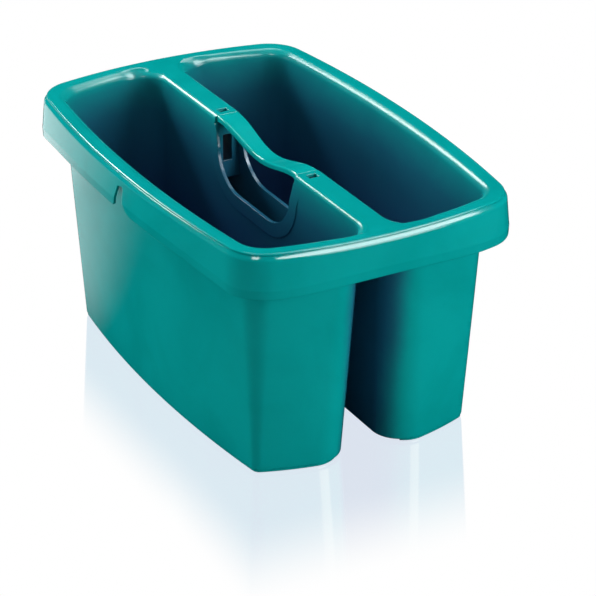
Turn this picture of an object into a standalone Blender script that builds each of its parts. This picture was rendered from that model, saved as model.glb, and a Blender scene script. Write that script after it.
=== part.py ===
"""Twin-basin cleaning caddy: one moulded tub (rolled rim, two basins with feet, divider) and one clip-in carry strap.

Frame: the origin is on the floor under the middle of the tub, +X runs along the divider, +Z is up.
All lengths in this file are in millimetres and are turned into metres when a mesh is made.
"""
import math

import bmesh
import bpy

MM = 0.001

# Plan outline of the rim crease: long sides, short sides and corners are circular arcs.
HALF_LENGTH = 195.0
HALF_WIDTH = 127.3
LONG_RADIUS = 1121.0
SHORT_RADIUS = 420.0
CORNER_RADIUS = 32.0

# Heights.
RIM_TOP = 198.5
DECK_UNDER = 195.8
SKIRT_CREASE = 171.0
SKIRT_BOTTOM = 163.2
FOOT_HEIGHT = 1.8
FLOOR_TOP = 4.2

# Legs: their outline is given at the floor and just under the skirt, and runs straight between.
# (half length, half width, long radius, short radius, corner radius)
LEG_LOW = (170.9, 103.1, 1114.0, 242.0, 7.8)
LEG_HIGH = (181.4, 111.8, 1220.0, 298.0, 22.6)
LEG_HIGH_Z = 153.0
WALL = 2.4

# Rim section, as offsets from the rim crease.
LAND_WIDTH = 7.3
LAND_ROUND = 7.0
SHOULDER = 2.3
SKIRT_FLARE = 4.8
SKIRT_WALL = 2.0

# The skirt is shallower along the sides than at the corners.
LIFT_LONG = 5.4
LIFT_SHORT = 4.0

# Divider between the basins: a web on top and one sloping wall on each side.
WEB_HALF = 11.5
WEB_ROUND = 3.5
WEB_DRAFT = 0.0345
WEB_DROP = 2.2
WEB_START = 192.8
INNER_CORNER = 25.0
MOUTH_CORNER = 20.0
BASIN_FLOOR_ROUND = 5.0

# Hand hole through the divider.
HAND_TOP = 66.3
HAND_SIDE = 65.4
HAND_BOTTOM = 142.6
LEDGE = 190.5
BORDER = 12.0
BORDER_PROUD = 0.8

# Latch windows and diaphragms at both ends of the hand hole.
WINDOW_X = 74.2
WINDOW_LENGTH = 6.4
WINDOW_WIDTH = 8.0
DIAPHRAGM_X = 67.0
DIAPHRAGM_THICK = 2.4
DIAPHRAGM_BOTTOM = 140.0
PORT_HALF = 4.1
PORT_LOW = 155.0
PORT_HIGH = 178.0

# Carry strap.
GAP = 0.3
STRAP_DIP = 10.7
STRAP_END_HALF = 9.6
STRAP_MID_HALF = 7.6
STRAP_SKIN = 2.4
STRAP_DEPTH = 4.6
STRAP_ROUND = 1.6
TONGUE_HALF = 6.2
TONGUE_TIP = 79.0
HOOK_RISE = 1.2

N_LONG = 8
N_CORNER = 5
N_SHORT = 5
N_FILLET = 7


# ------------------------------------------------------------------ outlines

RIM = (HALF_LENGTH, HALF_WIDTH, LONG_RADIUS, SHORT_RADIUS, CORNER_RADIUS)


def grown(shape, offset):
    """The same outline at a parallel offset."""
    return tuple(v + offset for v in shape)


def corner_of(shape):
    """Centre of the corner arc that touches the long arc and the short arc from inside, and the two touch angles."""
    a, b, r_long, r_short, r_corner = shape
    c1y, c2x = b - r_long, a - r_short
    r1, r2 = r_long - r_corner, r_short - r_corner
    dx, dy = c2x, -c1y
    dist = math.hypot(dx, dy)
    along = (r1 * r1 - r2 * r2 + dist * dist) / (2 * dist)
    off = math.sqrt(r1 * r1 - along * along)
    px, py = along * dx / dist, c1y + along * dy / dist
    cx, cy = max(
        ((px - s * off * dy / dist, py + s * off * dx / dist) for s in (1, -1)),
        key=lambda c: c[0] + c[1],
    )
    return cx, cy, math.atan2(cy - c1y, cx), math.atan2(cy, cx - c2x)


def arc(cx, cy, radius, start, end, count):
    """count + 1 points along an arc."""
    return [
        (cx + radius * math.cos(start + (end - start) * i / count), cy + radius * math.sin(start + (end - start) * i / count))
        for i in range(count + 1)
    ]


def full_outline(shape):
    a, b, r_long, r_short, r_corner = shape
    cx, cy, t1, t2 = corner_of(shape)
    q = arc(0, b - r_long, r_long, math.pi / 2, t1, N_LONG)
    q += arc(cx, cy, r_corner, t1, t2, N_CORNER)[1:]
    q += arc(a - r_short, 0, r_short, t2, 0, N_SHORT)[1:]
    ring = list(q)
    ring += [(x, -y) for x, y in reversed(q[:-1])]
    ring += [(-x, -y) for x, y in q[1:]]
    ring += [(-x, y) for x, y in reversed(q[1:-1])]
    return ring


def half_outline(shape, gap, fillet):
    """One basin or leg in plan: the outline on its outer sides, a straight wall at y = gap, and filleted inner corners.

    Each point carries how far it belongs to the divider wall (0 to 1).
    """
    a, b, r_long, r_short, r_corner = shape
    cx, cy, t1, t2 = corner_of(shape)
    yc = gap + fillet
    inner = r_short - fillet
    xc = a - r_short + math.sqrt(inner * inner - yc * yc)
    meet = math.atan2(yc, xc - a + r_short)
    points = [p + (0.0,) for p in arc(0, b - r_long, r_long, math.pi / 2, t1, N_LONG)]
    points += [p + (0.0,) for p in arc(cx, cy, r_corner, t1, t2, N_CORNER)[1:]]
    points += [p + (0.0,) for p in arc(a - r_short, 0, r_short, t2, meet, N_SHORT)[1:]]
    for i, p in enumerate(arc(xc, yc, fillet, meet, -math.pi / 2, N_FILLET)[1:]):
        s = (i + 1) / N_FILLET
        points.append(p + (s * s * (3 - 2 * s),))
    points += [(xc * 0.72, gap, 1.0), (xc * 0.36, gap, 1.0), (0.0, gap, 1.0)]
    return points + [(-x, y, w) for x, y, w in reversed(points[1:-1])]


# ------------------------------------------------------------------ meshes

def material(name, colour, roughness):
    mat = bpy.data.materials.new(name)
    mat.use_nodes = True
    shader = mat.node_tree.nodes["Principled BSDF"]
    shader.inputs["Base Color"].default_value = (*colour, 1.0)
    shader.inputs["Roughness"].default_value = roughness
    shader.inputs["Metallic"].default_value = 0.0
    mat.diffuse_color = (*colour, 1.0)
    return mat


def loft(name, loops):
    """A closed solid through loops of equal length, with the first and last loop filled."""
    bm = bmesh.new()
    rows = [[bm.verts.new((x * MM, y * MM, z * MM)) for x, y, z in loop] for loop in loops]
    count = len(rows[0])
    for low, high in zip(rows, rows[1:]):
        for i in range(count):
            j = (i + 1) % count
            bm.faces.new((low[i], low[j], high[j], high[i]))
    bm.faces.new(list(reversed(rows[0])))
    bm.faces.new(rows[-1])
    bmesh.ops.recalc_face_normals(bm, faces=bm.faces)
    if bm.calc_volume(signed=True) < 0:
        bmesh.ops.reverse_faces(bm, faces=bm.faces)
    mesh = bpy.data.meshes.new(name)
    bm.to_mesh(mesh)
    bm.free()
    obj = bpy.data.objects.new(name, mesh)
    bpy.context.scene.collection.objects.link(obj)
    return obj


def prism_y(name, outline, y0, y1):
    """A prism along Y from an outline in X and Z."""
    return loft(name, [[(x, y, z) for x, z in outline] for y in (y0, y1)])


def box(name, x0, x1, y0, y1, z0, z1):
    return loft(name, [[(x0, y0, z), (x1, y0, z), (x1, y1, z), (x0, y1, z)] for z in (z0, z1)])


def helper(obj):
    obj.hide_render = True
    obj.display_type = "WIRE"
    return obj


def boolean(target, other, operation):
    """Applies one exact Boolean and removes the helper."""
    helper(other)
    modifier = target.modifiers.new(operation.lower(), "BOOLEAN")
    modifier.operation = operation
    modifier.solver = "EXACT"
    modifier.object = other
    graph = bpy.context.evaluated_depsgraph_get()
    mesh = bpy.data.meshes.new_from_object(target.evaluated_get(graph))
    target.modifiers.clear()
    old = target.data
    target.data = mesh
    bpy.data.meshes.remove(old)
    bpy.data.objects.remove(other, do_unlink=True)


def tidy(obj, merge=0.00002):
    bm = bmesh.new()
    bm.from_mesh(obj.data)
    bmesh.ops.remove_doubles(bm, verts=bm.verts, dist=merge)
    bmesh.ops.dissolve_degenerate(bm, edges=bm.edges, dist=merge)
    bmesh.ops.triangulate(bm, faces=[f for f in bm.faces if len(f.verts) > 4])
    bmesh.ops.recalc_face_normals(bm, faces=bm.faces)
    bm.to_mesh(obj.data)
    bm.free()


def smooth(obj, angle=35.0):
    """Smooth shading with the edges sharper than the angle kept crisp."""
    bm = bmesh.new()
    bm.from_mesh(obj.data)
    for face in bm.faces:
        face.smooth = True
    for edge in bm.edges:
        edge.smooth = len(edge.link_faces) == 2 and edge.calc_face_angle(0.0) < math.radians(angle)
    bm.to_mesh(obj.data)
    bm.free()


# ------------------------------------------------------------------ tub

def leg_shape(z):
    """Outline of both legs together at a height."""
    t = z / LEG_HIGH_Z
    return tuple(low + (high - low) * t for low, high in zip(LEG_LOW, LEG_HIGH))


def divider_face(z):
    """Half width of the divider at a height, on the side of the basins."""
    return WEB_HALF + max(0.0, WEB_START - z) * WEB_DRAFT


def skirt_lift(x, y):
    """How far the lower edge of the skirt rises above its corners."""
    if abs(x) < 166.0:
        return LIFT_LONG * (1 - (x / 166.0) ** 4)
    return LIFT_SHORT * max(0.0, 1 - (y / 82.0) ** 2) ** 1.5


def cap_solid():
    """Deck, rolled rim and skirt as one plate with a hanging edge, before the basins are cut."""
    # offset from the rim crease, height, share of the skirt lift
    section = [
        (SHOULDER - SKIRT_WALL - 0.6, DECK_UNDER, 0.0),
        (SHOULDER - SKIRT_WALL + 0.2, DECK_UNDER - 2.6, 0.0),
        (SKIRT_FLARE - SKIRT_WALL, SKIRT_CREASE, 1.0),
        (SKIRT_FLARE - SKIRT_WALL - 0.3, SKIRT_BOTTOM, 1.0),
        (SKIRT_FLARE - 1.0, SKIRT_BOTTOM, 1.0),
        (SKIRT_FLARE - 0.4, SKIRT_BOTTOM + 0.7, 1.0),
        (SKIRT_FLARE, SKIRT_CREASE - 0.9, 1.0),
        (SKIRT_FLARE - 0.25, SKIRT_CREASE + 0.9, 1.0),
        (SHOULDER + 0.4, RIM_TOP - 7.8, 0.0),
        (SHOULDER + 0.05, RIM_TOP - 5.4, 0.0),
        (SHOULDER - 0.55, RIM_TOP - 3.4, 0.0),
        (SHOULDER - 1.4, RIM_TOP - 2.0, 0.0),
        (0.65, RIM_TOP - 1.5, 0.0),
        (0.4, RIM_TOP - 0.45, 0.0),
        (-0.3, RIM_TOP, 0.0),
    ]
    return loft("tub", [[(x, y, z + share * skirt_lift(x, y)) for x, y in full_outline(grown(RIM, d))] for d, z, share in section])


def leg_solid(side):
    """A leg from its floor up into the deck; the basin is cut from it later."""
    loops = []
    for z, shrink in ((FOOT_HEIGHT, 1.3), (FOOT_HEIGHT + 0.5, 0.4), (FOOT_HEIGHT + 1.6, 0.0), (LEG_HIGH_Z, 0.0), (RIM_TOP - 1.4, 0.0)):
        gap = divider_face(z) - WALL + shrink
        outline = half_outline(grown(leg_shape(z), -shrink), gap, INNER_CORNER - shrink)
        loops.append([(x, y * side, z) for x, y, _ in outline])
    return loft("leg", loops)


def basin_cutter(side):
    """The hollow of one basin, with a rounded floor edge and a rounded mouth."""
    loops = []
    for step in range(4):
        t = step * math.pi / 6
        z = FLOOR_TOP + BASIN_FLOOR_ROUND * (1 - math.cos(t))
        shrink = BASIN_FLOOR_ROUND * (1 - math.sin(t)) * 0.75
        outline = half_outline(grown(leg_shape(z), -WALL - shrink), divider_face(z) + shrink, INNER_CORNER - 4)
        loops.append([(x, y * side, z) for x, y, _ in outline])
    outline = half_outline(grown(leg_shape(LEG_HIGH_Z), -WALL), divider_face(LEG_HIGH_Z), INNER_CORNER - 3)
    loops.append([(x, y * side, LEG_HIGH_Z) for x, y, _ in outline])
    start = RIM_TOP - LAND_ROUND
    wall = half_outline(grown(leg_shape(start), -WALL), divider_face(start), INNER_CORNER - 3)
    land = half_outline(grown(RIM, -LAND_WIDTH), WEB_HALF - WEB_ROUND, MOUTH_CORNER)
    for step in range(7):
        t = step * math.pi / 12
        loop = []
        for (x0, y0, w), (x1, y1, _) in zip(wall, land):
            r = LAND_ROUND + (WEB_ROUND - LAND_ROUND) * w
            out = 1 - math.cos(t)
            z = RIM_TOP - r * (1 - math.sin(t)) - (0.03 if step == 6 else 0.0)
            loop.append((x0 + (x1 - x0) * out, (y0 + (y1 - y0) * out) * side, z))
        loops.append(loop)
    loops.append([(x, y, RIM_TOP + 6.0) for x, y, z in loops[-1]])
    return loft("basin", loops)


def foot_ring(side):
    """The low standing rim under one leg, left open at its two corners next to the slot."""
    z0, z1 = 0.0, FOOT_HEIGHT + 1.0
    gap = divider_face(0) - WALL
    shape = leg_shape(0)
    ring = loft("foot", [[(x, y * side, z) for x, y, _ in half_outline(grown(shape, -0.5 - d), gap + 5.0 + d, INNER_CORNER - 4)] for z, d in ((z0, 0.0), (z1, 1.2))])
    hole = loft("hole", [[(x, y * side, z) for x, y, _ in half_outline(grown(shape, -4.2), gap + 8.6, INNER_CORNER - 8)] for z in (z0 - 1, z1 + 1)])
    boolean(ring, hole, "DIFFERENCE")
    for end in (1, -1):
        x0, x1 = sorted((end * 136.0, end * 162.0))
        y0, y1 = sorted((side * (gap - 2), side * (gap + 17.0)))
        boolean(ring, box("break", x0, x1, y0, y1, z0 - 1, z1 + 1), "DIFFERENCE")
    return ring


def hand_outline(grow=0.0, top=None):
    """Half-width of the hand hole against height: nearly upright sides and a flat bottom with wide rounded corners."""
    rows = []
    cx, cz, rx, rz = 24.5, 172.0, 35.2, 29.4
    for i in range(8):
        t = -math.pi / 2 + i * (math.pi / 2) / 7
        rows.append((cx + (rx + grow) * math.cos(t), cz + (rz + grow) * math.sin(t)))
    rows.append((HAND_SIDE + grow, LEDGE if top is None else top))
    return rows


def hand_cutter():
    right = hand_outline()
    right += [(HAND_TOP, LEDGE), (HAND_TOP, RIM_TOP + 8)]
    outline = right + [(-x, z) for x, z in reversed(right)]
    return prism_y("hand", outline, -22.0, 22.0)


def border_pad(side):
    """A thin raised band round the hand hole on the basin face of the divider."""
    right = hand_outline(BORDER, 188.0)
    outline = right + [(-x, z) for x, z in reversed(right)]
    low = [(x, side * (divider_face(z) - 1.2), z) for x, z in outline]
    high = [(x, side * (divider_face(z) + BORDER_PROUD), z) for x, z in outline]
    return loft("border", [low, high])


def notch_cutter(side):
    """The break in the skirt at the middle of a long side: one upright edge, one lobe with a wide lower corner."""
    outline = [(-12.0, 158.0), (-8.5, 168.0), (-5.2, 169.4), (-3.3, 171.4), (1.2, 186.0), (2.6, 188.0), (9.4, 189.4)]
    outline += [(10.5, 187.0), (10.8, 182.0), (11.1, 178.6), (12.6, 175.0), (15.2, 172.2), (19.0, 170.2), (24.0, 168.9), (30.0, 168.2), (37.0, 158.0)]
    y0, y1 = sorted((side * (HALF_WIDTH - 1.5), side * (HALF_WIDTH + 20.0)))
    return prism_y("notch", [(x * -side, z) for x, z in reversed(outline)], y0, y1)


def diaphragm(end):
    """The wall that closes the divider at one end of the hand hole, with an upright port."""
    x0, x1 = sorted((end * DIAPHRAGM_X, end * (DIAPHRAGM_X + DIAPHRAGM_THICK)))
    loops = []
    for z in (DIAPHRAGM_BOTTOM, LEDGE - 0.0):
        half = divider_face(z) - 1.1
        loops.append([(x0, -half, z), (x1, -half, z), (x1, half, z), (x0, half, z)])
    wall = loft("diaphragm", loops)
    boolean(wall, box("port", x0 - 3, x1 + 3, -PORT_HALF, PORT_HALF, PORT_LOW, PORT_HIGH), "DIFFERENCE")
    return wall


def web_drop(x, y):
    """How far the deck sinks between the basins below the rim land."""
    along = min(1.0, max(0.0, (HALF_LENGTH - 9.0 - abs(x)) / 6.0))
    across = min(1.0, max(0.0, (44.0 - abs(y)) / 16.0))
    return WEB_DROP * along * along * (3 - 2 * along) * across * across * (3 - 2 * across)


def build_tub(mat):
    tub = cap_solid()
    for side in (1, -1):
        boolean(tub, leg_solid(side), "UNION")
    for side in (1, -1):
        boolean(tub, basin_cutter(side), "DIFFERENCE")
    for side in (1, -1):
        boolean(tub, border_pad(side), "UNION")
    for end in (1, -1):
        boolean(tub, diaphragm(end), "UNION")
    boolean(tub, hand_cutter(), "DIFFERENCE")
    for end in (1, -1):
        x0, x1 = end * WINDOW_X - WINDOW_LENGTH / 2, end * WINDOW_X + WINDOW_LENGTH / 2
        boolean(tub, box("window", x0, x1, -WINDOW_WIDTH / 2, WINDOW_WIDTH / 2, DECK_UNDER - 3, RIM_TOP + 4), "DIFFERENCE")
    for side in (1, -1):
        boolean(tub, notch_cutter(side), "DIFFERENCE")
        boolean(tub, foot_ring(side), "UNION")
    tidy(tub)
    for vertex in tub.data.vertices:
        x, y, z = (c / MM for c in vertex.co)
        if z > DECK_UNDER - 8.0:
            share = min(1.0, (z - (DECK_UNDER - 8.0)) / 6.0)
            vertex.co.z = (z - web_drop(x, y) * share) * MM
    tub.data.materials.clear()
    tub.data.materials.append(mat)
    smooth(tub)
    return tub


# ------------------------------------------------------------------ strap

def strap_dip(x):
    reach = HAND_TOP - GAP
    return STRAP_DIP * math.cos(math.pi * min(abs(x), reach) / (2 * reach)) ** 2


def strap_half(x):
    s = min(1.0, abs(x) / (HAND_TOP - GAP))
    s = s * s * (3 - 2 * s)
    return STRAP_MID_HALF + (STRAP_END_HALF - STRAP_MID_HALF) * s


def strap_section(x):
    """Channel section of the strap in Y and Z at a station along X."""
    top = RIM_TOP - WEB_DROP - strap_dip(x)
    half = strap_half(x)
    flange = 2.0
    under = top - STRAP_SKIN
    low = top - STRAP_DEPTH - 1.0 * max(0.0, (abs(x) - 58.0) / 8.0)
    right = []
    for i in range(5):
        t = i * math.pi / 8
        right.append((half - STRAP_ROUND * (1 - math.sin(t)), top - STRAP_ROUND * (1 - math.cos(t))))
    right += [(half, low + 0.5), (half - 0.5, low), (half - flange, low), (half - flange, under - 0.6), (half - flange - 0.6, under)]
    ring = right + [(-y, z) for y, z in reversed(right)]
    return [(x, y, z) for y, z in ring]


def build_strap(mat):
    reach = HAND_TOP - GAP
    stations = 28
    loops = [strap_section(-reach + 2 * reach * i / stations) for i in range(stations + 1)]
    strap = loft("carry_strap", loops)
    web = RIM_TOP - WEB_DROP
    under = DECK_UNDER - WEB_DROP
    for end in (1, -1):
        # End block under the skin, resting on the ledges of the divider walls.
        x0, x1 = sorted((end * 59.0, end * (reach - 0.02)))
        boolean(strap, box("block", x0, x1, -strap_half(59.0) + 1.0, strap_half(59.0) - 1.0, LEDGE + GAP, web - STRAP_SKIN + 0.8 - strap_dip(59.0)), "UNION")
        x0, x1 = sorted((end * 60.5, end * TONGUE_TIP))
        boolean(strap, box("tongue", x0, x1, -TONGUE_HALF, TONGUE_HALF, LEDGE + GAP + 0.15, under - GAP), "UNION")
        # Ramped hook that rises into the latch window.
        a, b = end * (WINDOW_X - WINDOW_LENGTH / 2 + GAP), end * (WINDOW_X + WINDOW_LENGTH / 2 - GAP)
        z0, z1 = under - GAP - 0.8, under - GAP + HOOK_RISE
        boolean(strap, prism_y("hook", [(a, z0), (b, z0), (b, z0 + 1.0), (a + (b - a) * 0.3, z1), (a, z1)], -WINDOW_WIDTH / 2 + GAP, WINDOW_WIDTH / 2 - GAP), "UNION")
    tidy(strap)
    strap.data.materials.clear()
    strap.data.materials.append(mat)
    smooth(strap)
    return strap


for old in list(bpy.data.objects):
    bpy.data.objects.remove(old, do_unlink=True)

build_tub(material("tub_plastic", (0.0, 0.28, 0.26), 0.28))
build_strap(material("strap_plastic", (0.0, 0.31, 0.29), 0.3))
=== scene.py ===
import math

import bmesh
import bpy
from mathutils import Matrix, Vector
from mathutils.bvhtree import BVHTree


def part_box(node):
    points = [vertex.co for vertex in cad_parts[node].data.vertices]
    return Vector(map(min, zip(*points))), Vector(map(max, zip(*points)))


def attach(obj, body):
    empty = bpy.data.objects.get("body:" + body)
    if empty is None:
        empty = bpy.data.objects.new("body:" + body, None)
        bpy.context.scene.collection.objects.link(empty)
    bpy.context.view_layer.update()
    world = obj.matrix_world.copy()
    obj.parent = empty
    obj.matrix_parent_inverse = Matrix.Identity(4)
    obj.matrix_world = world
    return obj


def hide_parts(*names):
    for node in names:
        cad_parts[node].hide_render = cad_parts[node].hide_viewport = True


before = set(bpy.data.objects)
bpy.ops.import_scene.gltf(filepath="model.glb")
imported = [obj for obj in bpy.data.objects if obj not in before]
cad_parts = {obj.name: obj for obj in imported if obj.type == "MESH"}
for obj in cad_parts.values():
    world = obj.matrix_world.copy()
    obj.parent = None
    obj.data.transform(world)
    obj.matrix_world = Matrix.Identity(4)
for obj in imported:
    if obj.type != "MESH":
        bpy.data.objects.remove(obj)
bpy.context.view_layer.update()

MM = 0.001
tub_low, tub_high = (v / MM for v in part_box("tub"))
strap_low, strap_high = (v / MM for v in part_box("carry_strap"))

# Rim crease outline: half length, half width, long radius, short radius, corner radius (mm).
FLARE = 4.8
RIM = (tub_high.x - FLARE, tub_high.y - FLARE, 1121.0, 420.0, 32.0)
RIM_TOP = tub_high.z
DECK_UNDER = RIM_TOP - 2.7
SKIRT_CREASE = 171.0
SKIRT_BOTTOM = 163.2
SKIRT_WALL = 2.0
LIFT_LONG, LIFT_SHORT = 5.4, 4.0
FOOT_HEIGHT = 1.8
FLOOR_TOP = 4.2
LEG_LOW = (170.9, 103.1, 1114.0, 242.0, 7.8)
LEG_HIGH = (181.4, 111.8, 1220.0, 298.0, 22.6)
LEG_HIGH_Z = 153.0
WALL = 2.4
LAND_WIDTH, LAND_ROUND = 7.3, 7.0
WEB_HALF, WEB_ROUND, WEB_DRAFT, WEB_DROP, WEB_START = 11.5, 3.5, 0.0345, 2.2, 192.8
INNER_CORNER, MOUTH_CORNER, BASIN_FLOOR_ROUND = 25.0, 20.0, 6.0
HAND_TOP, HAND_SIDE, LEDGE = 66.3, 65.4, 190.5
BORDER, BORDER_PROUD = 12.0, 0.7
WINDOW_X, WINDOW_LENGTH, WINDOW_WIDTH = 74.2, 6.4, 8.0
DIAPHRAGM_X, DIAPHRAGM_THICK, DIAPHRAGM_BOTTOM = 67.0, 2.4, 140.0
PORT_HALF, PORT_LOW, PORT_HIGH = 4.1, 155.0, 178.0
GAP = 0.3
STRAP_REACH = strap_high.x if strap_high.x < 70 else HAND_TOP - GAP
STRAP_DIP, STRAP_END_HALF, STRAP_MID_HALF = 10.7, strap_high.y, 7.6
STRAP_SKIN, STRAP_DEPTH, STRAP_ROUND = 2.4, 4.6, 1.6
TONGUE_HALF, TONGUE_TIP, HOOK_RISE = 6.2, strap_high.x, 0.5

N_LONG, N_CORNER, N_SHORT, N_FILLET = 36, 14, 22, 18


# ------------------------------------------------------------------ outlines

def grown(shape, offset):
    return tuple(v + offset for v in shape)


def corner_of(shape):
    a, b, r_long, r_short, r_corner = shape
    c1y, c2x = b - r_long, a - r_short
    r1, r2 = r_long - r_corner, r_short - r_corner
    dx, dy = c2x, -c1y
    dist = math.hypot(dx, dy)
    along = (r1 * r1 - r2 * r2 + dist * dist) / (2 * dist)
    off = math.sqrt(r1 * r1 - along * along)
    px, py = along * dx / dist, c1y + along * dy / dist
    cx, cy = max(((px - s * off * dy / dist, py + s * off * dx / dist) for s in (1, -1)), key=lambda c: c[0] + c[1])
    return cx, cy, math.atan2(cy - c1y, cx), math.atan2(cy, cx - c2x)


def arc(cx, cy, radius, start, end, count):
    return [
        (cx + radius * math.cos(start + (end - start) * i / count), cy + radius * math.sin(start + (end - start) * i / count))
        for i in range(count + 1)
    ]


def full_outline(shape):
    a, b, r_long, r_short, r_corner = shape
    cx, cy, t1, t2 = corner_of(shape)
    q = arc(0, b - r_long, r_long, math.pi / 2, t1, N_LONG)
    q += arc(cx, cy, r_corner, t1, t2, N_CORNER)[1:]
    q += arc(a - r_short, 0, r_short, t2, 0, N_SHORT)[1:]
    ring = list(q)
    ring += [(x, -y) for x, y in reversed(q[:-1])]
    ring += [(-x, -y) for x, y in q[1:]]
    ring += [(-x, y) for x, y in reversed(q[1:-1])]
    return ring


def half_outline(shape, gap, fillet):
    a, b, r_long, r_short, r_corner = shape
    cx, cy, t1, t2 = corner_of(shape)
    yc = gap + fillet
    inner = r_short - fillet
    xc = a - r_short + math.sqrt(inner * inner - yc * yc)
    meet = math.atan2(yc, xc - a + r_short)
    points = [p + (0.0,) for p in arc(0, b - r_long, r_long, math.pi / 2, t1, N_LONG)]
    points += [p + (0.0,) for p in arc(cx, cy, r_corner, t1, t2, N_CORNER)[1:]]
    points += [p + (0.0,) for p in arc(a - r_short, 0, r_short, t2, meet, N_SHORT)[1:]]
    for i, p in enumerate(arc(xc, yc, fillet, meet, -math.pi / 2, N_FILLET)[1:]):
        s = (i + 1) / N_FILLET
        points.append(p + (s * s * (3 - 2 * s),))
    points += [(xc * (1 - i / 14), gap, 1.0) for i in range(1, 15)]
    return points + [(-x, y, w) for x, y, w in reversed(points[1:-1])]


# ------------------------------------------------------------------ mesh tools

def loft(name, loops):
    """A closed body through loops of equal length, capped at both ends."""
    bm = bmesh.new()
    rows = [[bm.verts.new((x * MM, y * MM, z * MM)) for x, y, z in loop] for loop in loops]
    n = len(rows[0])
    for low, high in zip(rows, rows[1:]):
        for i in range(n):
            bm.faces.new((low[i], low[(i + 1) % n], high[(i + 1) % n], high[i]))
    bm.faces.new(rows[0][::-1])
    bm.faces.new(rows[-1])
    if bm.calc_volume(signed=True) < 0:
        bmesh.ops.reverse_faces(bm, faces=bm.faces)
    mesh = bpy.data.meshes.new(name)
    bm.to_mesh(mesh)
    bm.free()
    obj = bpy.data.objects.new(name, mesh)
    bpy.context.scene.collection.objects.link(obj)
    return obj


def prism_y(name, outline, y0, y1):
    return loft(name, [[(x, y0, z) for x, z in outline], [(x, y1, z) for x, z in outline]])


def box(name, x0, x1, y0, y1, z0, z1):
    return loft(name, [[(x0, y0, z), (x1, y0, z), (x1, y1, z), (x0, y1, z)] for z in (z0, z1)])


def boolean(target, other, operation):
    modifier = target.modifiers.new("cut", "BOOLEAN")
    modifier.operation = operation
    modifier.solver = "EXACT"
    modifier.object = other
    graph = bpy.context.evaluated_depsgraph_get()
    graph.update()
    mesh = bpy.data.meshes.new_from_object(target.evaluated_get(graph))
    target.modifiers.clear()
    old = target.data
    target.data = mesh
    bpy.data.meshes.remove(old)
    bpy.data.objects.remove(other, do_unlink=True)


def join_apart(target, other):
    """Moves the mesh of a helper that stays clear of the target into the target."""
    bm = bmesh.new()
    bm.from_mesh(target.data)
    bm.from_mesh(other.data)
    bm.to_mesh(target.data)
    bm.free()
    bpy.data.objects.remove(other, do_unlink=True)


def finish_mesh(obj, sharp=32.0):
    """Welds slivers, shades smooth and keeps the real edges crisp."""
    bm = bmesh.new()
    bm.from_mesh(obj.data)
    bmesh.ops.remove_doubles(bm, verts=bm.verts, dist=0.00001)
    bmesh.ops.dissolve_degenerate(bm, dist=0.00001, edges=bm.edges)
    limit = math.radians(sharp)
    for face in bm.faces:
        face.smooth = True
    for edge in bm.edges:
        edge.smooth = not (len(edge.link_faces) == 2 and edge.calc_face_angle(0.0) > limit)
    bm.to_mesh(obj.data)
    bm.free()
    weighted = obj.modifiers.new("normals", "WEIGHTED_NORMAL")
    weighted.keep_sharp = True
    weighted.weight = 60


# ------------------------------------------------------------------ tub

def leg_shape(z):
    t = z / LEG_HIGH_Z
    return tuple(low + (high - low) * t for low, high in zip(LEG_LOW, LEG_HIGH))


def divider_face(z):
    return WEB_HALF + max(0.0, WEB_START - z) * WEB_DRAFT


def skirt_lift(x, y):
    if abs(x) < 166.0:
        return LIFT_LONG * (1 - (x / 166.0) ** 4)
    return LIFT_SHORT * max(0.0, 1 - (y / 82.0) ** 2) ** 1.5


def cap_solid():
    section = [
        (-0.4, DECK_UNDER, 0.0),
        (0.2, DECK_UNDER - 0.8, 0.0),
        (0.5, DECK_UNDER - 2.6, 0.0),
        (1.7, 183.0, 0.3),
        (FLARE - SKIRT_WALL, SKIRT_CREASE, 1.0),
        (FLARE - SKIRT_WALL - 0.3, SKIRT_BOTTOM + 0.5, 1.0),
        (FLARE - SKIRT_WALL - 0.1, SKIRT_BOTTOM + 0.1, 1.0),
        (FLARE - SKIRT_WALL + 0.4, SKIRT_BOTTOM, 1.0),
    ]
    # bottom edge of the lip, rounded outwards
    for i in range(1, 6):
        t = i * math.pi / 12
        section.append((FLARE - 1.25 + 0.9 * math.sin(t), SKIRT_BOTTOM + 0.9 * (1 - math.cos(t)), 1.0))
    section.append((FLARE - 0.22, SKIRT_BOTTOM + 2.6, 1.0))
    # the flare crease
    for d, dz in ((-0.08, -1.6), (-0.02, -0.9), (0.0, -0.35), (-0.03, 0.2), (-0.1, 0.8), (-0.24, 1.7)):
        section.append((FLARE + d, SKIRT_CREASE + dz, 1.0))
    # skirt face up to the shoulder
    foot = (FLARE - 0.24, SKIRT_CREASE + 1.7)
    top = (2.68, RIM_TOP - 6.0)
    for i in range(1, 7):
        u = i / 7
        section.append((foot[0] + (top[0] - foot[0]) * u, foot[1] + (top[1] - foot[1]) * u, 1.0 - u))
    # shoulder, from nearly upright to a 42 degree slope
    px, pz = top
    for i in range(19):
        section.append((px, pz, 0.0))
        # tight turn at the foot, then a nearly flat slope of about 3 mm
        t = math.radians(84.0 - 5.0 * i if i < 6 else 53.0 - 0.55 * (i - 6))
        length = 0.34 if i < 6 else 0.235
        px, pz = px - length * math.cos(t), pz + length * math.sin(t)
    end = section[-1]
    # small step under the crease, then the crease itself
    section += [
        (end[0] - 0.18, end[1] + 0.07, 0.0),
        (end[0] - 0.33, end[1] + 0.2, 0.0),
        (end[0] - 0.4, end[1] + 0.4, 0.0),
    ]
    for i in range(7):
        t = math.radians(80 - i * 13.3)
        section.append((-0.97 + 1.4 * math.sin(t), RIM_TOP - 1.4 + 1.4 * math.cos(t), 0.0))
    section.append((-2.4, RIM_TOP, 0.0))
    return loft("tub_shell", [[(x, y, z + share * skirt_lift(x, y)) for x, y in full_outline(grown(RIM, d))] for d, z, share in section])


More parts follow.
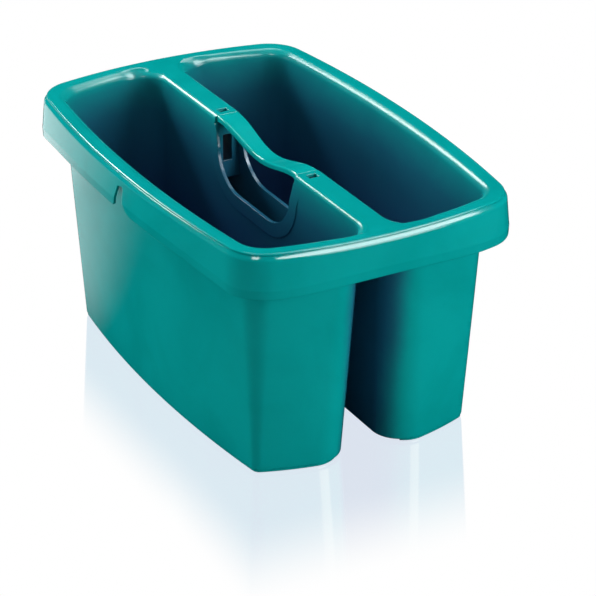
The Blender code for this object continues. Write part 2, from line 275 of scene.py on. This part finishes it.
def leg_solid(side):
    loops = []
    for i in range(6):
        t = i * math.pi / 10
        z, shrink = FOOT_HEIGHT + 1.6 * (1 - math.cos(t)), 1.6 * (1 - math.sin(t))
        gap = divider_face(z) - WALL + shrink
        outline = half_outline(grown(leg_shape(z), -shrink), gap, INNER_CORNER - shrink)
        loops.append([(x, y * side, z) for x, y, _ in outline])
    for z in (20.0, 55.0, 90.0, 125.0, 160.0, RIM_TOP - 1.4):
        outline = half_outline(leg_shape(z), divider_face(z) - WALL, INNER_CORNER)
        loops.append([(x, y * side, z) for x, y, _ in outline])
    return loft("leg", loops)


def basin_cutter(side):
    loops = []
    for step in range(8):
        t = step * math.pi / 14
        z = FLOOR_TOP + BASIN_FLOOR_ROUND * (1 - math.cos(t))
        shrink = BASIN_FLOOR_ROUND * (1 - math.sin(t)) * 0.75
        outline = half_outline(grown(leg_shape(z), -WALL - shrink), divider_face(z) + shrink, INNER_CORNER - 4)
        loops.append([(x, y * side, z) for x, y, _ in outline])
    for z in (40.0, 70.0, 100.0, 130.0, LEG_HIGH_Z, 172.0):
        outline = half_outline(grown(leg_shape(z), -WALL), divider_face(z), INNER_CORNER - 3)
        loops.append([(x, y * side, z) for x, y, _ in outline])
    start = RIM_TOP - LAND_ROUND
    wall = half_outline(grown(leg_shape(start), -WALL), divider_face(start), INNER_CORNER - 3)
    land = half_outline(grown(RIM, -LAND_WIDTH), WEB_HALF - WEB_ROUND, MOUTH_CORNER)
    steps = 16
    for step in range(steps + 1):
        t = step * math.pi / 2 / steps
        loop = []
        for (x0, y0, w), (x1, y1, _) in zip(wall, land):
            r = LAND_ROUND + (WEB_ROUND - LAND_ROUND) * w
            out = 1 - math.cos(t)
            z = RIM_TOP - r * (1 - math.sin(t)) - (0.02 if step == steps else 0.0)
            loop.append((x0 + (x1 - x0) * out, (y0 + (y1 - y0) * out) * side, z))
        loops.append(loop)
    loops.append([(x, y, RIM_TOP + 6.0) for x, y, z in loops[-1]])
    return loft("basin", loops)


def foot_ring(side):
    gap = divider_face(0) - WALL
    shape = leg_shape(0)
    loops = []
    for z, d in ((0.0, 0.8), (0.12, 0.35), (0.45, 0.08), (FOOT_HEIGHT + 1.0, 0.0)):
        loops.append([(x, y * side, z) for x, y, _ in half_outline(grown(shape, -0.5 - d), gap + 5.0 + d, INNER_CORNER - 4)])
    ring = loft("foot", loops)
    hole = loft("hole", [[(x, y * side, z) for x, y, _ in half_outline(grown(shape, -4.2), gap + 8.6, INNER_CORNER - 8)] for z in (-1.0, FOOT_HEIGHT + 2.0)])
    boolean(ring, hole, "DIFFERENCE")
    for end in (1, -1):
        x0, x1 = sorted((end * 136.0, end * 162.0))
        y0, y1 = sorted((side * (gap - 2), side * (gap + 17.0)))
        boolean(ring, box("break", x0, x1, y0, y1, -1.0, FOOT_HEIGHT + 2.0), "DIFFERENCE")
    return ring


def hand_outline(grow=0.0, top=None):
    rows = []
    cx, cz, rx, rz = 24.5, 172.0, 35.2, 29.4
    for i in range(25):
        t = -math.pi / 2 + i * (math.pi / 2) / 24
        rows.append((cx + (rx + grow) * math.cos(t), cz + (rz + grow) * math.sin(t)))
    rows.append((HAND_SIDE + grow, LEDGE if top is None else top))
    return rows


def hand_cutter():
    right = hand_outline()
    right += [(HAND_TOP, LEDGE), (HAND_TOP, RIM_TOP + 8)]
    return prism_y("hand", right + [(-x, z) for x, z in reversed(right)], -22.0, 22.0)


def border_pad(side):
    def ring(grow):
        right = hand_outline(grow)[:-1]
        x0, z0 = right[-1]
        x1 = HAND_SIDE + grow
        right += [(x0 + (x1 - x0) * i / 6, z0 + (189.0 - z0) * i / 6) for i in range(1, 7)]
        return right + [(-x, z) for x, z in reversed(right)]

    def proud(z):
        t = min(1.0, max(0.0, (188.0 - z) / 20.0))
        return (BORDER_PROUD + 0.15) * t * t * (3 - 2 * t) - 0.15

    low = [(x, side * (divider_face(z) - 1.2), z) for x, z in ring(BORDER)]
    rise = [(x, side * (divider_face(z) + proud(z) * 0.45 - 0.05), z) for x, z in ring(BORDER)]
    bend = [(x, side * (divider_face(z) + proud(z) * 0.85 - 0.02), z) for x, z in ring(BORDER - 0.2)]
    high = [(x, side * (divider_face(z) + proud(z)), z) for x, z in ring(BORDER - 0.7)]
    return loft("border", [low, rise, bend, high])


def notch_cutter(side):
    outline = [(-12.0, 158.0), (-8.5, 168.0), (-6.8, 168.6), (-5.2, 169.4), (-4.1, 170.3), (-3.3, 171.6), (1.2, 186.0), (1.7, 187.2), (2.6, 188.0), (9.2, 189.4)]
    outline += [(10.1, 188.9), (10.6, 187.6), (10.8, 182.0), (11.0, 178.8), (11.6, 176.8), (12.8, 174.6), (14.6, 172.6), (16.8, 171.1), (19.4, 170.1), (24.0, 168.9), (30.0, 168.1), (37.0, 158.0)]
    y0, y1 = sorted((side * (RIM[1] - 1.5), side * (RIM[1] + 20.0)))
    return prism_y("notch", [(x * -side, z) for x, z in reversed(outline)], y0, y1)


def diaphragm(end):
    x0, x1 = sorted((end * DIAPHRAGM_X, end * (DIAPHRAGM_X + DIAPHRAGM_THICK)))
    loops = []
    for z in (DIAPHRAGM_BOTTOM, LEDGE):
        half = divider_face(z) - 1.1
        loops.append([(x0, -half, z), (x1, -half, z), (x1, half, z), (x0, half, z)])
    wall = loft("diaphragm", loops)
    boolean(wall, box("port", x0 - 3, x1 + 3, -PORT_HALF, PORT_HALF, PORT_LOW, PORT_HIGH), "DIFFERENCE")
    return wall


def web_drop(x, y):
    along = min(1.0, max(0.0, (RIM[0] - 9.0 - abs(x)) / 6.0))
    across = min(1.0, max(0.0, (44.0 - abs(y)) / 16.0))
    return WEB_DROP * along * along * (3 - 2 * along) * across * across * (3 - 2 * across)


def inside(x, y, shape):
    a, b, r_long, r_short, _ = shape
    return x * x + (abs(y) - b + r_long) ** 2 < r_long**2 and (abs(x) - a + r_short) ** 2 + y * y < r_short**2


def surface_of(obj):
    return BVHTree.FromPolygons([v.co.copy() for v in obj.data.vertices], [list(f.vertices) for f in obj.data.polygons])


def build_tub():
    tub = cap_solid()
    basin_walls = []
    for side in (1, -1):
        boolean(tub, leg_solid(side), "UNION")
    for side in (1, -1):
        cutter = basin_cutter(side)
        basin_walls.append(surface_of(cutter))
        boolean(tub, cutter, "DIFFERENCE")
    for side in (1, -1):
        boolean(tub, border_pad(side), "UNION")
    for end in (1, -1):
        boolean(tub, diaphragm(end), "UNION")
    boolean(tub, hand_cutter(), "DIFFERENCE")
    for end in (1, -1):
        x0, x1 = end * WINDOW_X - WINDOW_LENGTH / 2, end * WINDOW_X + WINDOW_LENGTH / 2
        boolean(tub, box("window", x0, x1, -WINDOW_WIDTH / 2, WINDOW_WIDTH / 2, DECK_UNDER - 3, RIM_TOP + 4), "DIFFERENCE")
    for side in (1, -1):
        boolean(tub, notch_cutter(side), "DIFFERENCE")
        boolean(tub, foot_ring(side), "UNION")
    # 0 outside, 1 inside a basin or on the hand-hole border (painted shade, darker lower down), 2 in the slot, in the
    # hand hole and under the deck (painted shade)
    for face in tub.data.polygons:
        x, y, z = (c / MM for c in face.center)
        wall = abs(y) - divider_face(z)
        on_basin = z < RIM_TOP - 0.5 and min(tree.find_nearest(face.center)[3] for tree in basin_walls) < 0.03 * MM
        on_border = abs(x) < HAND_SIDE + BORDER + 1 and 125 < z < 190 and -0.2 < wall < BORDER_PROUD + 0.3
        in_slot = z < DECK_UNDER + 0.5 and wall < 0.4 - WALL and abs(x) < 158.0
        in_hole = abs(x) < HAND_TOP + 0.5 and 130 < z < 190 and wall < BORDER_PROUD and abs(face.normal.y) < 0.5
        in_window = abs(abs(x) - WINDOW_X) < WINDOW_LENGTH / 2 + 0.3 and abs(y) < WINDOW_WIDTH / 2 + 0.3 and z < RIM_TOP - 0.3 and abs(face.normal.z) < 0.5
        face.material_index = 2 if in_hole or in_slot or in_window else 1 if on_basin or on_border else 0
    for vertex in tub.data.vertices:
        x, y, z = (c / MM for c in vertex.co)
        if z > DECK_UNDER - 8.0:
            share = min(1.0, (z - (DECK_UNDER - 8.0)) / 6.0)
            vertex.co.z = (z - web_drop(x, y) * share) * MM
    finish_mesh(tub)
    return tub


# ------------------------------------------------------------------ strap

def strap_dip(x):
    return STRAP_DIP * math.cos(math.pi * min(abs(x), HAND_TOP - GAP) / (2 * (HAND_TOP - GAP))) ** 2


def strap_half(x):
    s = min(1.0, abs(x) / (HAND_TOP - GAP))
    s = s * s * (3 - 2 * s)
    return STRAP_MID_HALF + (STRAP_END_HALF - STRAP_MID_HALF) * s


def strap_section(x, inset=0.0, lower=0.0):
    top = RIM_TOP - WEB_DROP - strap_dip(x) - lower
    half = strap_half(x) - inset
    flange = 2.0
    under = top - STRAP_SKIN
    low = top - STRAP_DEPTH - 1.0 * max(0.0, (abs(x) - 58.0) / 8.0)
    right = []
    for i in range(11):
        t = i * math.pi / 20
        right.append((half - STRAP_ROUND * (1 - math.sin(t)), top - STRAP_ROUND * (1 - math.cos(t)) + 0.02 * math.sin(math.pi * i / 10)))
    right += [(half, low + 0.6), (half - 0.17, low + 0.17), (half - 0.6, low), (half - flange + 0.3, low), (half - flange, low + 0.25), (half - flange, under - 0.8), (half - flange - 0.25, under - 0.25), (half - flange - 0.8, under)]
    ring = right + [(-y, z) for y, z in reversed(right)]
    return [(x, y, z) for y, z in ring]


def build_strap():
    reach = HAND_TOP - GAP
    stations = 110
    loops = [strap_section(-reach, 0.35, 0.3)]
    loops += [strap_section((-reach + 0.12) + 2 * (reach - 0.12) * i / stations, 0.05 if i in (0, stations) else 0.0, 0.04 if i in (0, stations) else 0.0) for i in range(stations + 1)]
    loops += [strap_section(reach, 0.35, 0.3)]
    strap = loft("carry_strap_shell", loops)
    web = RIM_TOP - WEB_DROP
    under = DECK_UNDER - WEB_DROP
    for end in (1, -1):
        x0, x1 = sorted((end * 59.0, end * (reach - 0.02)))
        boolean(strap, box("block", x0, x1, -strap_half(59.0) + 1.0, strap_half(59.0) - 1.0, LEDGE + GAP, web - STRAP_SKIN + 0.8 - strap_dip(59.0)), "UNION")
        x0, x1 = sorted((end * 60.5, end * TONGUE_TIP))
        boolean(strap, box("tongue", x0, x1, -TONGUE_HALF, TONGUE_HALF, LEDGE + GAP + 0.15, under - GAP), "UNION")
        a, b = end * (WINDOW_X - WINDOW_LENGTH / 2 + GAP), end * (WINDOW_X + WINDOW_LENGTH / 2 - GAP)
        z0, z1 = under - GAP - 0.8, under - GAP + HOOK_RISE
        boolean(strap, prism_y("hook", [(a, z0), (b, z0), (b, z0 + 1.0), (a + (b - a) * 0.3, z1), (a, z1)], -WINDOW_WIDTH / 2 + GAP, WINDOW_WIDTH / 2 - GAP), "UNION")
    finish_mesh(strap)
    # painted shade: the strap's underside and the ends tucked into the web take a dark navy in place of the teal
    for face in strap.data.polygons:
        x, y, z = (c / MM for c in face.center)
        shaded_face = abs(x) > HAND_TOP or z < RIM_TOP - WEB_DROP - strap_dip(x) - STRAP_DEPTH + 0.3
        face.material_index = 1 if shaded_face else 0
    return strap


# ------------------------------------------------------------------ materials

class Nodes:
    """Short calls for building a node tree."""

    def __init__(self, material):
        material.use_nodes = True
        self.tree = material.node_tree
        self.tree.nodes.clear()

    def add(self, kind, **values):
        node = self.tree.nodes.new(kind)
        for key, value in values.items():
            if key.startswith("_"):
                setattr(node, key[1:], value)
            else:
                node.inputs[key.replace("__", " ")].default_value = value
        return node

    def link(self, a, output, b, socket):
        self.tree.links.new(a.outputs[output], b.inputs[socket])

    def math(self, operation, a, b=None, clamp=False):
        node = self.tree.nodes.new("ShaderNodeMath")
        node.operation = operation
        node.use_clamp = clamp
        for i, value in enumerate((a, b)):
            if value is None:
                continue
            if isinstance(value, tuple):
                self.tree.links.new(value[0].outputs[value[1]], node.inputs[i])
            else:
                node.inputs[i].default_value = value
        return node

    def ramp(self, source, stops, interpolation="EASE"):
        node = self.tree.nodes.new("ShaderNodeValToRGB")
        self.tree.links.new(source[0].outputs[source[1]], node.inputs[0])
        node.color_ramp.interpolation = interpolation
        elements = node.color_ramp.elements
        while len(elements) < len(stops):
            elements.new(0.5)
        for element, (position, colour) in zip(elements, stops):
            element.position = position
            element.color = (*colour, 1.0)
        return node

    def mix(self, factor, a, b, blend="MIX"):
        node = self.tree.nodes.new("ShaderNodeMix")
        node.data_type = "RGBA"
        node.blend_type = blend
        for index, value in ((0, factor), (6, a), (7, b)):
            if isinstance(value, tuple) and not isinstance(value[0], (int, float)):
                self.tree.links.new(value[0].outputs[value[1]], node.inputs[index])
            elif index == 0:
                node.inputs[index].default_value = value
            else:
                node.inputs[index].default_value = (*value, 1.0)
        return node


def plastic(name, colour, painted_shade=None, rough=0.11, drag=True, stops=(0.45, 0.82, 0.94, 0.98), shade_between_legs=False, marked=1.0):
    """Injection-moulded polypropylene: pigment swirl, flow and draw marks, fine surface grain, handling scuffs and
    rounded edges. With a shade colour given, painted shade is mixed into the colour: darker towards the bottom of a
    basin or slot, or on the leg faces that turn in towards each other.
    """
    material = bpy.data.materials.new(name)
    n = Nodes(material)
    where = n.add("ShaderNodeTexCoord")
    split = n.add("ShaderNodeSeparateXYZ")
    n.link(where, "Object", split, 0)

    swirl = n.add("ShaderNodeTexNoise", Scale=11.0, Detail=5.0, Roughness=0.55, Distortion=0.6)
    n.link(where, "Object", swirl, "Vector")
    speck = n.add("ShaderNodeTexNoise", Scale=950.0, Detail=2.0, Roughness=0.6)
    n.link(where, "Object", speck, "Vector")
    light = tuple(min(1.0, c * 1.07 + 0.001) for c in colour)
    dark = tuple(c * 0.93 for c in colour)
    pigment = n.ramp((swirl, "Fac"), [(0.32, dark), (0.68, light)])
    grainy = n.mix(0.06, (pigment, 0), (speck, "Color"), "OVERLAY")
    base = grainy
    if painted_shade is not None:
        wander = n.math("MULTIPLY_ADD", (swirl, "Fac"), 0.012)
        wander.inputs[2].default_value = -0.006
        if shade_between_legs:
            # painted shade on the faces of the two legs that turn in towards each other, below the deck
            aside = n.math("ABSOLUTE", (split, "Y"))
            aside = n.math("ADD", (aside, 0), (wander, 0))
            share = n.add("ShaderNodeMapRange", _interpolation_type="SMOOTHSTEP")
            n.link(aside, 0, share, 0)
            for i, value in enumerate((0.0135, 0.031, 1.0, 0.0)):
                share.inputs[i + 1].default_value = value
            below = n.add("ShaderNodeMapRange", _interpolation_type="SMOOTHSTEP")
            n.link(split, "Z", below, 0)
            for i, value in enumerate((0.158, 0.166, 1.0, 0.0)):
                below.inputs[i + 1].default_value = value
            share = n.math("MULTIPLY", (share, 0), (below, 0))
        else:
            # painted shade: the colour turns to the shade colour towards the bottom and stays plain teal near the rim
            height = n.math("ADD", (split, "Z"), (wander, 0))
            level = n.math("DIVIDE", (height, 0), 0.2, clamp=True)
            share = n.ramp((level, 0), [(0.0, (1.0, 1.0, 1.0)), (stops[0], (1.0, 1.0, 1.0)), (stops[1], (0.74, 0.74, 0.74)), (stops[2], (0.4, 0.4, 0.4)), (stops[3], (0.0, 0.0, 0.0))], "LINEAR")
        base = n.mix((share, 0), (grainy, 2), painted_shade)

    # roughness: broad gloss changes, draw marks along the walls, a few scuffs
    gloss = n.add("ShaderNodeTexNoise", Scale=26.0, Detail=4.0, Roughness=0.6)
    n.link(where, "Object", gloss, "Vector")
    stretch = n.add("ShaderNodeMapping")
    stretch.inputs["Scale"].default_value = (260.0, 260.0, 7.0) if drag else (12.0, 240.0, 240.0)
    n.link(where, "Object", stretch, "Vector")
    marks = n.add("ShaderNodeTexNoise", Scale=1.0, Detail=3.0, Roughness=0.6)
    n.link(stretch, 0, marks, "Vector")
    scuff_map = n.add("ShaderNodeMapping")
    scuff_map.inputs["Rotation"].default_value = (0.5, 0.35, 0.8)
    scuff_map.inputs["Scale"].default_value = (190.0, 30.0, 45.0)
    n.link(where, "Object", scuff_map, "Vector")
    scuffs = n.add("ShaderNodeTexNoise", Scale=1.0, Detail=2.0, Roughness=0.5)
    n.link(scuff_map, 0, scuffs, "Vector")
    scuff = n.ramp((scuffs, "Fac"), [(0.62, (0.0, 0.0, 0.0)), (0.85, (1.0, 1.0, 1.0))])
    r1 = n.math("MULTIPLY_ADD", (gloss, "Fac"), 0.10)
    r1.inputs[2].default_value = rough - 0.05
    r2 = n.math("MULTIPLY_ADD", (marks, "Fac"), 0.05 * marked)
    n.link(r1, 0, r2, 2)
    r3 = n.math("MULTIPLY_ADD", (scuff, 0), 0.04, clamp=True)
    n.link(r2, 0, r3, 2)

    edge = n.add("ShaderNodeBevel", Radius=0.0007, _samples=6)
    fine = n.add("ShaderNodeBump", Strength=0.22 * marked, Distance=0.00004)
    n.link(speck, "Fac", fine, "Height")
    n.link(edge, 0, fine, "Normal")
    flow = n.add("ShaderNodeBump", Strength=0.16 * marked, Distance=0.00006)
    n.link(marks, "Fac", flow, "Height")
    n.link(fine, 0, flow, "Normal")
    ripple = n.add("ShaderNodeTexNoise", Scale=42.0, Detail=1.5, Roughness=0.4)
    n.link(where, "Object", ripple, "Vector")
    sink = n.add("ShaderNodeBump", Strength=0.2, Distance=0.00022)
    n.link(ripple, "Fac", sink, "Height")
    n.link(flow, 0, sink, "Normal")

    shader = n.add("ShaderNodeBsdfPrincipled")
    shader.inputs["IOR"].default_value = 1.49
    shader.inputs["Metallic"].default_value = 0.0
    shader.inputs["Specular IOR Level"].default_value = 0.42
    n.link(base, 2, shader, "Base Color")
    n.link(r3, 0, shader, "Roughness")
    n.link(sink, 0, shader, "Normal")
    output = n.add("ShaderNodeOutputMaterial")
    n.link(shader, 0, output, "Surface")
    return material


TEAL = (0.0003, 0.270, 0.262)
STRAP_TEAL = (0.0008, 0.315, 0.300)
# painted shade colour, low down in the basins
BASIN_SHADE_NAVY = (0.0125, 0.048, 0.135)
# painted shade colour, in the slot between the legs, the hand hole and the windows
SLOT_SHADE_NAVY = (0.012, 0.11, 0.19)

tub = build_tub()
tub.name = "tub_moulding"
tub_areas = [face.material_index for face in tub.data.polygons]
tub.data.materials.clear()
# outer faces: painted shade on the leg faces inside the slot
tub.data.materials.append(plastic("tub_outer_pp", TEAL, SLOT_SHADE_NAVY, rough=0.075, shade_between_legs=True))
# basin walls and the hand-hole border: painted shade, teal darkening to navy towards the bottom
tub.data.materials.append(plastic("tub_basin_shade_pp", TEAL, BASIN_SHADE_NAVY, rough=0.22, marked=0.15))
# slot, hand hole and windows: painted shade, teal darkening to a bluer navy lower down
tub.data.materials.append(plastic("tub_slot_shade_pp", TEAL, SLOT_SHADE_NAVY, rough=0.2, stops=(0.8, 0.9, 0.96, 0.99)))
tub.data.polygons.foreach_set("material_index", tub_areas)
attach(tub, "root")
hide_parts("tub")

strap = build_strap()
strap.name = "strap_moulding"
strap_areas = [face.material_index for face in strap.data.polygons]
strap.data.materials.clear()
strap.data.materials.append(plastic("strap_pp", STRAP_TEAL, rough=0.07, drag=False))
# painted shade colour for the strap's underside and tucked-in ends
strap.data.materials.append(plastic("strap_under_shade_pp", (0.004, 0.05, 0.08), rough=0.25, drag=False))
strap.data.polygons.foreach_set("material_index", strap_areas)
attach(strap, "root")
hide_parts("carry_strap")


# ------------------------------------------------------------------ floor and light

def plane(name, size, z):
    bm = bmesh.new()
    bmesh.ops.create_grid(bm, x_segments=4, y_segments=4, size=size)
    mesh = bpy.data.meshes.new(name)
    bm.to_mesh(mesh)
    bm.free()
    obj = bpy.data.objects.new(name, mesh)
    obj.location.z = z
    bpy.context.scene.collection.objects.link(obj)
    return obj


# What the camera sees: a white polished floor with a faint mirror image.
shine = bpy.data.materials.new("floor_white")
n = Nodes(shine)
where = n.add("ShaderNodeTexCoord")
split = n.add("ShaderNodeSeparateXYZ")
n.link(where, "Object", split, 0)
# distance out from the two legs' footprint, along the way a reflection runs
runs = []
for axis, half_size, slant in (("X", LEG_LOW[0] * MM, 0.876), ("Y", LEG_LOW[1] * MM, 0.483)):
    size = n.math("ABSOLUTE", (split, axis))
    past = n.math("SUBTRACT", (size, 0), half_size)
    runs.append(n.math("DIVIDE", (past, 0), slant))
run = n.math("MAXIMUM", (runs[0], 0), (runs[1], 0))
polish = n.add("ShaderNodeMapRange", _interpolation_type="SMOOTHSTEP")
n.link(run, 0, polish, 0)
for i, value in enumerate((0.045, 0.168, 1.0, 0.0)):
    polish.inputs[i + 1].default_value = value
MIRROR = (0.29, 0.235, 0.145)
own = n.mix((polish, 0), (1.0, 1.0, 1.0), tuple(1.0 - c for c in MIRROR))
sheen = n.mix((polish, 0), (0.0, 0.0, 0.0), MIRROR)
white = n.add("ShaderNodeEmission", Strength=1.0)
n.link(own, 2, white, 0)
cloud = n.add("ShaderNodeTexNoise", Scale=14.0, Detail=3.0)
n.link(where, "Object", cloud, "Vector")
wear = n.math("MULTIPLY_ADD", (cloud, "Fac"), 0.05)
wear.inputs[2].default_value = 0.03
mirror = n.add("ShaderNodeBsdfGlossy")
n.link(sheen, 2, mirror, 0)
n.link(wear, 0, mirror, "Roughness")
total = n.add("ShaderNodeAddShader")
n.link(white, 0, total, 0)
n.link(mirror, 0, total, 1)
output = n.add("ShaderNodeOutputMaterial")
n.link(total, 0, output, "Surface")
floor = plane("floor", 6.0, -0.0002)
floor.data.materials.append(shine)
floor.visible_diffuse = False
floor.visible_glossy = False
floor.visible_transmission = False
floor.visible_shadow = False

# What lights the underside: the same floor as a matt surface, which takes the shadow of the tub.
matt = bpy.data.materials.new("floor_matt")
n = Nodes(matt)
grey = n.add("ShaderNodeBsdfDiffuse", Roughness=0.5)
grey.inputs[0].default_value = (0.4, 0.4, 0.4, 1.0)
output = n.add("ShaderNodeOutputMaterial")
n.link(grey, 0, output, "Surface")
bounce = plane("floor_bounce", 3.0, -0.0006)
bounce.data.materials.append(matt)
bounce.visible_camera = False
bounce.visible_glossy = False


def softbox(name, direction, distance, width, height, strength, spin=0.0, glossy=True, diffuse=True, target=(0.0, 0.0, 0.12)):
    """A rectangular area light that faces the caddy from a direction."""
    light = bpy.data.lights.new(name, "AREA")
    light.shape = "RECTANGLE"
    light.size, light.size_y = width, height
    light.energy = strength * width * height
    obj = bpy.data.objects.new(name, light)
    d = Vector(direction).normalized()
    obj.location = Vector(target) + d * distance
    obj.rotation_mode = "QUATERNION"
    obj.rotation_quaternion = d.to_track_quat("Z", "Y") @ Matrix.Rotation(spin, 3, "Z").to_quaternion()
    bpy.context.scene.collection.objects.link(obj)
    obj.visible_camera = False
    obj.visible_glossy = glossy
    obj.visible_diffuse = diffuse
    return obj


softbox("key_right", (0.86, 0.40, 0.32), 2.4, 1.25, 0.95, 24.0)
softbox("key_high", (0.622, 0.392, 0.678), 2.4, 1.75, 0.85, 52.0, diffuse=False)
softbox("corner", (0.37, -0.50, 0.78), 2.4, 0.5, 0.45, 44.0, diffuse=False)
softbox("top_long", (-0.20, 0.43, 0.88), 2.4, 2.7, 0.5, 19.0)
softbox("back_left", (-0.79, -0.22, 0.54), 2.4, 1.6, 0.36, 62.0)
softbox("fill_right", (0.80, 0.60, 0.20), 2.6, 1.4, 1.2, 14.5, glossy=False)
softbox("fill_side", (-0.55, -0.80, 0.22), 2.6, 1.6, 1.2, 27.0, glossy=False)
softbox("fill_top", (0.1, -0.05, 1.0), 2.6, 1.6, 1.6, 8.5, glossy=False)

# The part of the floor that mirrors in the far end of the long side.
gleam = bpy.data.materials.new("floor_gleam")
n = Nodes(gleam)
where = n.add("ShaderNodeTexCoord")
split = n.add("ShaderNodeSeparateXYZ")
n.link(where, "Object", split, 0)
behind = n.math("MINIMUM", (split, "X"), -0.02)
bearing = n.math("DIVIDE", (split, "Y"), (behind, 0))
far = n.add("ShaderNodeMapRange", _interpolation_type="SMOOTHSTEP")
n.link(behind, 0, far, 0)
for i, value in enumerate((-0.36, -0.52, 0.0, 1.0)):
    far.inputs[i + 1].default_value = value
turned = n.math("MULTIPLY_ADD", (far, 0), -0.05)
n.link(bearing, 0, turned, 2)
spread = n.add("ShaderNodeMapRange", _interpolation_type="SMOOTHSTEP")
n.link(turned, 0, spread, 0)
for i, value in enumerate((0.20, 0.95, 0.95, 0.0)):
    spread.inputs[i + 1].default_value = value
aside = n.add("ShaderNodeMapRange", _interpolation_type="SMOOTHSTEP")
n.link(split, "Y", aside, 0)
for i, value in enumerate((-0.075, -0.105, 0.0, 1.0)):
    aside.inputs[i + 1].default_value = value
fade = n.math("MULTIPLY", (spread, 0), (aside, 0))
boost = n.math("MULTIPLY_ADD", (far, 0), 0.9)
boost.inputs[2].default_value = 1.0
fade = n.math("MULTIPLY", (fade, 0), (boost, 0))
glow = n.add("ShaderNodeEmission")
n.link(fade, 0, glow, "Strength")
output = n.add("ShaderNodeOutputMaterial")
n.link(glow, 0, output, "Surface")
patch = plane("floor_gleam", 5.5, -0.0004)
patch.data.materials.append(gleam)
patch.visible_camera = False
patch.visible_diffuse = False
patch.visible_shadow = False

world = bpy.data.worlds.new("studio")
bpy.context.scene.world = world
world.use_nodes = True
tree = world.node_tree
tree.nodes.clear()
coord = tree.nodes.new("ShaderNodeTexCoord")
axes = tree.nodes.new("ShaderNodeSeparateXYZ")
tree.links.new(coord.outputs["Generated"], axes.inputs[0])
shade = tree.nodes.new("ShaderNodeValToRGB")
half = tree.nodes.new("ShaderNodeMath")
half.operation = "MULTIPLY_ADD"
half.inputs[1].default_value = 0.5
half.inputs[2].default_value = 0.5
tree.links.new(axes.outputs["Z"], half.inputs[0])
tree.links.new(half.outputs[0], shade.inputs[0])
shade.color_ramp.elements[0].position = 0.46
shade.color_ramp.elements[0].color = (0.03, 0.035, 0.04, 1.0)
shade.color_ramp.elements[1].position = 0.62
shade.color_ramp.elements[1].color = (0.20, 0.21, 0.22, 1.0)
back = tree.nodes.new("ShaderNodeBackground")
back.inputs["Strength"].default_value = 1.0
tree.links.new(shade.outputs[0], back.inputs[0])
out = tree.nodes.new("ShaderNodeOutputWorld")
tree.links.new(back.outputs[0], out.inputs[0])

# A white surround that only the camera sees, so low views have no grey horizon.
bm = bmesh.new()
bmesh.ops.create_uvsphere(bm, u_segments=48, v_segments=24, radius=5.9)
mesh = bpy.data.meshes.new("surround")
bm.to_mesh(mesh)
bm.free()
surround = bpy.data.objects.new("surround", mesh)
bpy.context.scene.collection.objects.link(surround)
glow = bpy.data.materials.new("surround_white")
n = Nodes(glow)
white = n.add("ShaderNodeEmission", Strength=1.0)
white.inputs[0].default_value = (1.0, 1.0, 1.0, 1.0)
output = n.add("ShaderNodeOutputMaterial")
n.link(white, 0, output, "Surface")
mesh.materials.append(glow)
floor_only = bpy.data.collections.new("floor_only")
floor_only.objects.link(floor)
surround.light_linking.receiver_collection = floor_only
for flag in ("visible_diffuse", "visible_transmission", "visible_shadow", "visible_volume_scatter"):
    setattr(surround, flag, False)

# ------------------------------------------------------------------ camera

right = Vector((0.48261511, 0.87583143, 0.00140092))
down = Vector((0.39445806, -0.21593212, -0.89318316))
ahead = Vector((-0.78197538, 0.43161630, -0.44969087))
eye = Vector((1.692519, -0.905701, 1.025595))
camera = bpy.data.cameras.new("view")
camera.sensor_width = 36.0
camera.lens = 160.60
camera.clip_end = 50.0
camera_object = bpy.data.objects.new("view", camera)
camera_object.matrix_world = Matrix(
    (
        (right.x, -down.x, -ahead.x, eye.x),
        (right.y, -down.y, -ahead.y, eye.y),
        (right.z, -down.z, -ahead.z, eye.z),
        (0.0, 0.0, 0.0, 1.0),
    )
)
bpy.context.scene.collection.objects.link(camera_object)
bpy.context.scene.camera = camera_object
bpy.context.scene.view_settings.view_transform = "Standard"
bpy.context.scene.view_settings.look = "None"
